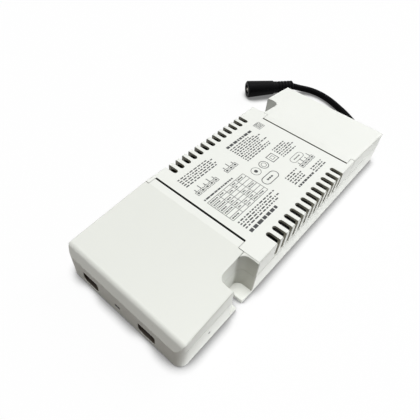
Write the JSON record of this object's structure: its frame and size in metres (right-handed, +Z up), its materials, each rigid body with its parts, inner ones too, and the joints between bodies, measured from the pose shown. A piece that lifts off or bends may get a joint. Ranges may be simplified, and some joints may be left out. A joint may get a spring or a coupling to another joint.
{
  "type": "led driver",
  "caption": "Flat white led driver case with vented housing, clip-on terminal covers, open screw pockets, cable entries and a short output lead with an in-line round socket.",
  "frame": {"origin": "centre of the case's underside, halfway along its length and width", "axes": "+X along the case from the input end to the output end, +Y across it, +Z up out of the housing's roof"},
  "size_m": [0.2101, 0.1003, 0.024],
  "materials": {
    "case_plastic": "white moulded polycarbonate, fine satin texture",
    "cover_plastic": "white moulded polycarbonate, fine satin texture",
    "insulating_film": "translucent polyester film",
    "board": "green solder mask over glass-fibre laminate",
    "terminal_plastic": "light grey polyamide",
    "dark_plastic": "black moulding compound",
    "blue_coating": "dipped blue epoxy",
    "yellow_plastic": "yellow plastic box",
    "ferrite": "dark grey ferrite",
    "copper_wire": "enamelled copper wire",
    "capacitor_sleeve": "shrink sleeve over aluminium can",
    "winding_tape": "yellow polyester tape over the winding",
    "aluminium_plate": "plain rolled sheet",
    "screw_steel": "zinc plated",
    "lead_rubber": "black satin cable sheath",
    "wire_sleeve": "red wire sleeve",
    "socket_plastic": "black moulded vinyl",
    "contact_metal": "nickel plated contact"
  },
  "bodies": {
    "root": {"base_tray": "case_plastic", "top_housing": "case_plastic", "input_cover": "cover_plastic", "output_cover": "cover_plastic", "insulation_sheet": "insulating_film", "circuit_board": "board", "mains_terminal_block": "terminal_plastic", "control_terminal_block": "dark_plastic", "output_terminal_block": "terminal_plastic", "current_setting_terminal": "terminal_plastic", "fuse": "dark_plastic", "varistor": "blue_coating", "filter_capacitor": "yellow_plastic", "common_mode_choke_core": "ferrite", "common_mode_choke_winding": "copper_wire", "bridge_rectifier": "dark_plastic", "bulk_capacitors": "capacitor_sleeve", "inductor_core": "ferrite", "inductor_winding": "winding_tape", "transformer_core": "ferrite", "transformer_winding": "winding_tape", "heat_spreader": "aluminium_plate", "power_transistors": "dark_plastic", "controller_chips": "dark_plastic", "optocouplers": "dark_plastic", "safety_capacitors": "blue_coating", "output_choke": "ferrite", "output_capacitors": "capacitor_sleeve", "input_cable_clamps": "dark_plastic", "output_cable_clamp": "dark_plastic", "clamp_screws": "screw_steel", "lead_grommet": "lead_rubber", "lead_tail": "lead_rubber", "output_wires": "wire_sleeve", "output_lead": "lead_rubber", "dc_socket": "socket_plastic", "dc_contact_sleeve": "contact_metal", "dc_centre_pin": "contact_metal"}
  },
  "joints": []
}
